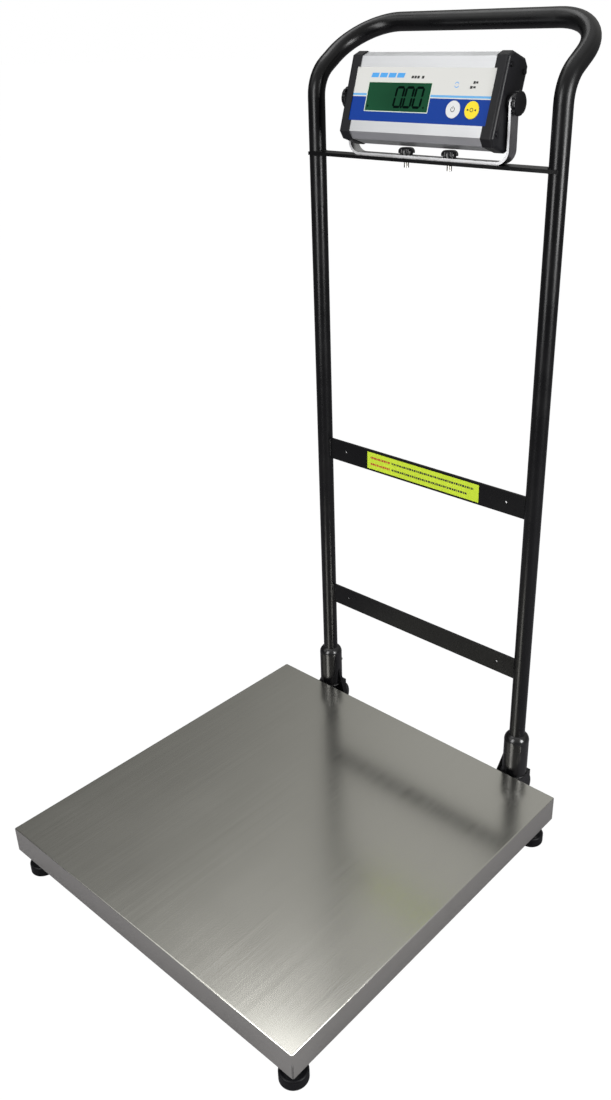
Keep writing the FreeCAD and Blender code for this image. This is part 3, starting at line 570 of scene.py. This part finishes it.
def printed_film():
    """Film coloured by height on the tilted face; the ramp covers 100 mm about the middle."""
    finish, tree, shader = start_finish("printed overlay film", film_grey, film_roughness)
    shader.inputs["Specular IOR Level"].default_value = 0.22
    place = tree.nodes.new("ShaderNodeTexCoord")
    upright = tree.nodes.new("ShaderNodeMapping")
    back = Matrix.Rotation(-lean_back, 3, "X")
    upright.inputs["Rotation"].default_value = (-lean_back, 0.0, 0.0)
    upright.inputs["Location"].default_value = -(back @ pivot)
    split = tree.nodes.new("ShaderNodeSeparateXYZ")
    tree.links.new(place.outputs["Object"], upright.inputs["Vector"])
    tree.links.new(upright.outputs["Vector"], split.inputs["Vector"])
    height = combine(tree, combine(tree, split.outputs["Z"], 10.0, "MULTIPLY"), 0.5)
    ramp = tree.nodes.new("ShaderNodeValToRGB")
    ramp.color_ramp.interpolation = "CONSTANT"
    marks = [(0.0, print_blue), (0.5 + white_low * 0.01, print_white), (0.5 + line_low * 0.01, print_sky),
             (0.5 + line_high * 0.01, print_white)]
    points = ramp.color_ramp.elements
    while len(points) < len(marks):
        points.new(1.0)
    for point, (position, colour) in zip(points, marks):
        point.position = position
        point.color = (*colour, 1.0)
    tree.links.new(height, ramp.inputs["Fac"])
    tree.links.new(ramp.outputs["Color"], shader.inputs["Base Color"])
    pebble = noise_on(tree, 3000.0, detail=2.0)
    handling = noise_on(tree, 50.0, detail=4.0)
    satin = combine(tree, spread(tree, handling, -0.04, 0.06), film_roughness)
    tree.links.new(satin, shader.inputs["Roughness"])
    roughen(tree, shader, pebble, 0.02 * mm)
    return finish


dress(printed_film(), "front_overlay")

window_left, window_right, window_low, window_high = -76.0, 16.0, -18.8, 13.8
border = 0.9
border_grey = (0.62, 0.70, 0.60)
panel_green, panel_dark, panel_light = (0.01, 0.06, 0.03), (0.002, 0.034, 0.014), (0.012, 0.092, 0.040)
segment_green = (0.0006, 0.004, 0.003)
panel_proud, border_proud, segment_proud = -0.25, 0.05, -0.18
plate_back, segment_back = 1.0, 0.6


def face_plate(form, outline, back, proud):
    """Prism on the indicator's face from an outline of (x, z) points, reaching back behind the face."""
    front = [form.verts.new(face_spot(x, z, proud)) for x, z in outline]
    rear = [form.verts.new(face_spot(x, z, -back)) for x, z in outline]
    count = len(outline)
    form.faces.new(front)
    form.faces.new(rear[::-1])
    for k in range(count):
        form.faces.new((front[k], rear[k], rear[(k + 1) % count], front[(k + 1) % count]))


def rectangle(x0, z0, x1, z1):
    """Outline of a rectangle from its low corner to its high one."""
    return [(x0, z0), (x1, z0), (x1, z1), (x0, z1)]


def display_green():
    """Green of the display, a little uneven as its backlight is."""
    finish, tree, shader = start_finish("display green", panel_green, 0.2)
    shader.inputs["Specular IOR Level"].default_value = 0.08
    backlight = noise_on(tree, 22.0, detail=1.0)
    cells = noise_on(tree, 2600.0, detail=1.0)
    tone = blend(tree, backlight, cells, (0.8, 0.2))
    tree.links.new(shade_between(tree, tone, panel_dark, panel_light), shader.inputs["Base Color"])
    roughen(tree, shader, cells, 0.005 * mm)
    return finish


inner_left, inner_right = window_left + border, window_right - border
inner_low, inner_high = window_low + border, window_high - border
glass_form = bmesh.new()
face_plate(glass_form, rectangle(inner_left, inner_low, inner_right, inner_high), plate_back, panel_proud)
make_piece("display_panel", glass_form, "indicator", display_green(), ["display_window"])

border_form = bmesh.new()
for strip in ((window_left, window_low, window_right, inner_low),
              (window_left, inner_high, window_right, window_high),
              (window_left, inner_low, inner_left, inner_high),
              (inner_right, inner_low, window_right, inner_high)):
    face_plate(border_form, rectangle(*strip), plate_back, border_proud)
border_ink = moulded("pale window border", border_grey, 0.35, 1500.0, 0.01 * mm, 0.08)
make_piece("window_border", border_form, "indicator", border_ink)

digit_height, digit_width, stroke = 21.0, 10.2, 2.7
digit_lefts = (-34.5, -20.7, -6.9)
digit_slant = 0.10
digit_base = -13.0
digit_middle, digit_top = digit_base + digit_height / 2, digit_base + digit_height
segment_gap = 0.2
point_left, point_right, point_drop, point_rise = -23.7, -21.5, 1.3, 1.1
marker_low, marker_high, marker_reach = -14.5, -11.5, 2.6
left_marker_x, right_marker_x = -72.5, 9.5
digit_ink = moulded("display segment", segment_green, 0.5, 2500.0, 0.003 * mm, 0.4, 0.0)


def slanted(x, z):
    """Lean a place on a digit to the right as it rises."""
    return x + (z - digit_base) * digit_slant, z


def segment_bar(form, start, end, half):
    """Pointed bar of one digit, from start to end."""
    along = (end - start).normalized()
    across = Vector((-along.y, along.x))
    points = [start, start + (along + across) * half, end + (across - along) * half, end,
              end - (along + across) * half, start + (along - across) * half]
    face_plate(form, [slanted(*p) for p in points], segment_back, segment_proud)


def zero_digit(form, left):
    """Six segments that show a nought."""
    right = left + digit_width
    for start, end in (((left, digit_base), (right, digit_base)), ((left, digit_top), (right, digit_top)),
                       ((left, digit_base), (left, digit_middle)), ((left, digit_middle), (left, digit_top)),
                       ((right, digit_base), (right, digit_middle)),
                       ((right, digit_middle), (right, digit_top))):
        inset = (Vector(end) - Vector(start)).normalized() * segment_gap
        segment_bar(form, Vector(start) + inset, Vector(end) - inset, stroke / 2)


digits = bmesh.new()
for left in digit_lefts:
    zero_digit(digits, left)
decimal_point = rectangle(point_left, digit_base - point_drop, point_right, digit_base + point_rise)
face_plate(digits, [slanted(x, z) for x, z in decimal_point], segment_back, segment_proud)
for x, way in ((left_marker_x, 1), (right_marker_x, -1)):
    marker = [(x, marker_high), (x + marker_reach * way, (marker_low + marker_high) / 2), (x, marker_low)]
    face_plate(digits, marker[::way], segment_back, segment_proud)
make_piece("display_digits", digits, "indicator", digit_ink)

# ---------------------------------------------------------------- print on the overlay
# Plain bars stand where a maker would print its name. A ring of two arrows and a
# few small symbols are printed above the keys.
sky_blue = (0.08, 0.36, 0.78)
ink_black = (0.02, 0.02, 0.02)
ink_back, ink_proud = 0.02, 0.04
bar_lefts, bar_low_z, bar_high_z, bar_width, bar_slant = (-74.0, -61.5, -49.0, -36.5), 18.2, 23.2, 10.5, 1.3
word_lefts, word_low_z, word_high_z, word_width, word_slant = (-15.5, -11.5, -7.5, -1.0), 17.6, 20.4, 3.2, 0.6
ring_centre, ring_inner, ring_outer = (48.5, 11.7), 2.3, 3.1
small_marks = ((69.6, 13.0, 72.4, 15.8), (73.0, 13.4, 75.8, 15.6), (66.4, 8.0, 69.6, 10.8),
               (70.4, 8.6, 73.6, 10.6))
sky_ink = moulded("light blue ink", sky_blue, 0.35, 1500.0, 0.01 * mm, 0.1)
dark_ink = moulded("black ink", ink_black, 0.4, 1500.0, 0.01 * mm, 0.2)


def arc_band(form, centre, inner, outer, start, end, proud):
    """Flat band of a ring on the indicator's face."""
    steps = 24
    turns = [math.radians(start + (end - start) * k / steps) for k in range(steps + 1)]
    outside = [(centre[0] + outer * math.cos(t), centre[1] + outer * math.sin(t)) for t in turns]
    inside = [(centre[0] + inner * math.cos(t), centre[1] + inner * math.sin(t)) for t in turns]
    for k in range(steps):
        face_plate(form, [inside[k], outside[k], outside[k + 1], inside[k + 1]], ink_back, proud)


def leaning_bar(form, left, low, high, width, slant):
    """Printed bar whose top leans to the right."""
    outline = [(left, low), (left + width, low), (left + width + slant, high), (left + slant, high)]
    face_plate(form, outline, ink_back, ink_proud)


blue_print = bmesh.new()
for left in bar_lefts:
    leaning_bar(blue_print, left, bar_low_z, bar_high_z, bar_width, bar_slant)
for start in (20, 200):
    arc_band(blue_print, ring_centre, ring_inner, ring_outer, start, start + 140, ink_proud)
make_piece("overlay_blue_print", blue_print, "indicator", sky_ink)

dark_print = bmesh.new()
for left in word_lefts:
    leaning_bar(dark_print, left, word_low_z, word_high_z, word_width, word_slant)
for mark in small_marks:
    face_plate(dark_print, rectangle(*mark), ink_back, ink_proud)
make_piece("overlay_dark_print", dark_print, "indicator", dark_ink)

# ---------------------------------------------------------------- keys
# Two moulded round keys stand just proud of the overlay: white for power and
# yellow for zero, each with a small printed symbol.
key_white = (0.72, 0.73, 0.73)
key_yellow = (0.90, 0.70, 0.03)
key_ink_proud = 0.64
key_ink_back = -0.58
power_x, zero_x, key_z = 49.8, 74.6, -13.6
power_inner, power_outer, power_ring_start, power_ring_end = 2.1, 2.8, 125, 415
stroke_half, stroke_low, stroke_high = 0.35, 0.6, 3.6
zero_inner, zero_outer = 1.5, 2.2
arrow_tip, arrow_tail, arrow_half = 3.0, 6.0, 1.3
white_plastic = moulded("white key plastic", key_white, 0.3, 2200.0, 0.02 * mm, 0.06)
yellow_plastic = moulded("yellow key plastic", key_yellow, 0.3, 2200.0, 0.02 * mm, 0.08)
dress(white_plastic, "power_key")
dress(yellow_plastic, "zero_key")

power_symbol = bmesh.new()
arc_band(power_symbol, (power_x, key_z), power_inner, power_outer, power_ring_start, power_ring_end,
         key_ink_proud)
power_stroke = rectangle(power_x - stroke_half, key_z + stroke_low,
                         power_x + stroke_half, key_z + stroke_high)
face_plate(power_symbol, power_stroke, key_ink_back, key_ink_proud)
make_piece("power_symbol", power_symbol, "power_key", dark_ink)

zero_symbol = bmesh.new()
arc_band(zero_symbol, (zero_x, key_z), zero_inner, zero_outer, 0, 360, key_ink_proud)
for way in (-1, 1):
    tip, tail = zero_x + way * arrow_tip, zero_x + way * arrow_tail
    arrow = [(tip, key_z), (tail, key_z - arrow_half), (tail, key_z + arrow_half)]
    face_plate(zero_symbol, arrow[::way], key_ink_back, key_ink_proud)
make_piece("zero_symbol", zero_symbol, "zero_key", dark_ink)

# ---------------------------------------------------------------- knobs
# Moulded black knobs with zinc studs: two fluted ones clamp the indicator's tilt
# and two hold the bracket down on the shelf.
knob_black = (0.004, 0.004, 0.005)
knob_plastic = moulded("knob plastic", knob_black, 0.24, 1800.0, 0.02 * mm, 0.4, 0.5)
for side in ("left", "right"):
    dress(knob_plastic, side + "_tilt_knob", side + "_thumb_knob", edge=0.35 * mm)
    dress(zinc, side + "_tilt_stud", side + "_thumb_stud")

# ---------------------------------------------------------------- floor, light and camera
# A plain pale floor and soft studio boxes: two upright ones in front and on the right
# draw the lines of light on the tube, two overhead light the tray's near corner and
# the top of the handle, and one on the front left lights the bands of the housing.
floor_half_size = 60.0
floor_grey = (0.225, 0.220, 0.236)
plain_white = (1.0, 1.0, 1.0, 1.0)
floor_glow = 1.16
floor_glow_share = 0.85

floor_form = bmesh.new()
bmesh.ops.create_grid(floor_form, x_segments=8, y_segments=8, size=floor_half_size)
floor_mesh = bpy.data.meshes.new("studio_floor")
floor_form.to_mesh(floor_mesh)
floor_form.free()
floor = bpy.data.objects.new("studio_floor", floor_mesh)
bpy.context.scene.collection.objects.link(floor)
floor_finish, floor_tree, floor_shader = start_finish("pale floor", floor_grey, 0.8)
glow = floor_tree.nodes.new("ShaderNodeEmission")
glow.inputs["Color"].default_value = plain_white
glow.inputs["Strength"].default_value = floor_glow
glow_mix = floor_tree.nodes.new("ShaderNodeMixShader")
floor_ray = floor_tree.nodes.new("ShaderNodeLightPath")
glow_share = combine(floor_tree, floor_ray.outputs["Is Camera Ray"], floor_glow_share, "MULTIPLY")
floor_tree.links.new(glow_share, glow_mix.inputs["Fac"])
floor_tree.links.new(floor_shader.outputs["BSDF"], glow_mix.inputs[1])
floor_tree.links.new(glow.outputs["Emission"], glow_mix.inputs[2])
floor_tree.links.new(glow_mix.outputs["Shader"], floor_tree.nodes["Material Output"].inputs["Surface"])
floor_mesh.materials.append(floor_finish)

sky_low, sky_top = (0.20, 0.20, 0.20, 1.0), (0.95, 0.95, 0.95, 1.0)
sky_steps = ((0.35, 0.30), (0.55, 0.47), (0.66, 0.46), (0.8, 0.48))
sky_warmth = 0.97
far_left, near_left, far_left_level = -0.70, -0.48, 0.32
mix_first, mix_second, mix_result = 6, 7, 2

world = bpy.context.scene.world or bpy.data.worlds.new("studio")
bpy.context.scene.world = world
world.use_nodes = True
sky_tree = world.node_tree
sky_tree.nodes.clear()
sky_out = sky_tree.nodes.new("ShaderNodeOutputWorld")
sky = sky_tree.nodes.new("ShaderNodeBackground")
sky_place = sky_tree.nodes.new("ShaderNodeTexCoord")
sky_split = sky_tree.nodes.new("ShaderNodeSeparateXYZ")
sky_ray = sky_tree.nodes.new("ShaderNodeLightPath")
sky_tree.links.new(sky_place.outputs["Generated"], sky_split.inputs["Vector"])
sky_ramp = sky_tree.nodes.new("ShaderNodeValToRGB")
sky_points = sky_ramp.color_ramp.elements
sky_points[0].color = sky_low
sky_points[1].color = sky_top
for position, level in sky_steps:
    point = sky_points.new(position)
    point.color = (level, level, level * sky_warmth, 1.0)
sky_tree.links.new(sky_split.outputs["Z"], sky_ramp.inputs["Fac"])
leftward = sky_tree.nodes.new("ShaderNodeMapRange")
leftward.inputs["From Min"].default_value = far_left
leftward.inputs["From Max"].default_value = near_left
leftward.inputs["To Min"].default_value = far_left_level
leftward.inputs["To Max"].default_value = 1.0
sky_tree.links.new(sky_split.outputs["X"], leftward.inputs["Value"])
sky_level = combine(sky_tree, leftward.outputs["Result"], sky_ray.outputs["Is Camera Ray"], "MAXIMUM")
sky_mix = sky_tree.nodes.new("ShaderNodeMix")
sky_mix.data_type = "RGBA"
sky_mix.inputs[mix_second].default_value = plain_white
sky_tree.links.new(sky_ray.outputs["Is Camera Ray"], sky_mix.inputs["Factor"])
sky_tree.links.new(sky_ramp.outputs["Color"], sky_mix.inputs[mix_first])
sky_tree.links.new(sky_mix.outputs[mix_result], sky.inputs["Color"])
sky_tree.links.new(sky_level, sky.inputs["Strength"])
sky_tree.links.new(sky.outputs["Background"], sky_out.inputs["Surface"])


def soft_box(name, place, aim, width, height, power):
    """Rectangular studio light, out of the camera's own sight."""
    lamp = bpy.data.lights.new(name, "AREA")
    lamp.shape = "RECTANGLE"
    lamp.size = width
    lamp.size_y = height
    lamp.energy = power
    lamp_object = bpy.data.objects.new(name, lamp)
    lamp_object.location = place
    lamp_object.rotation_euler = (Vector(aim) - Vector(place)).to_track_quat("-Z", "Y").to_euler()
    lamp_object.visible_camera = False
    bpy.context.scene.collection.objects.link(lamp_object)


# The overhead box is aimed a hair off straight down, which settles how it is turned.
overhead_place, overhead_aim = (-0.58, 0.36, 1.95), (-0.58, 0.3601, 0.0)
soft_box("front_left_box", (-1.9, -1.8, 2.2), (0.0, 0.1, 0.6), 1.4, 1.4, 4.2)
soft_box("front_box", (-0.05, -1.15, 0.95), (0.0, 0.2, 0.8), 0.45, 1.2, 12.6)
soft_box("right_box", (1.75, 0.05, 1.0), (0.0, 0.3, 0.8), 0.6, 1.1, 30.0)
soft_box("overhead_box", overhead_place, overhead_aim, 0.6, 0.6, 2.9)
soft_box("handle_box", (-0.80, -0.35, 1.95), (0.0, 0.1, 0.9), 0.6, 0.6, 1.5)

camera_place = (0.7429, -0.7634, 0.9741)
camera_data = bpy.data.cameras.new("studio_camera")
camera = bpy.data.objects.new("studio_camera", camera_data)
bpy.context.scene.collection.objects.link(camera)
bpy.context.scene.camera = camera
camera_data.sensor_width = 36.0
camera_data.lens = 32.77
camera_data.shift_x = -0.048
camera_data.shift_y = -0.0125
camera_forward = Vector((-0.5912, 0.6749, -0.4416)).normalized()
camera_right = Vector((0.7554, 0.6552, -0.0100)).normalized()
camera_up = camera_right.cross(camera_forward)
turn = Matrix((camera_right, camera_up, -camera_forward)).transposed()
camera.matrix_world = Matrix.Translation(camera_place) @ turn.to_4x4()
bpy.context.scene.view_settings.view_transform = "Standard"
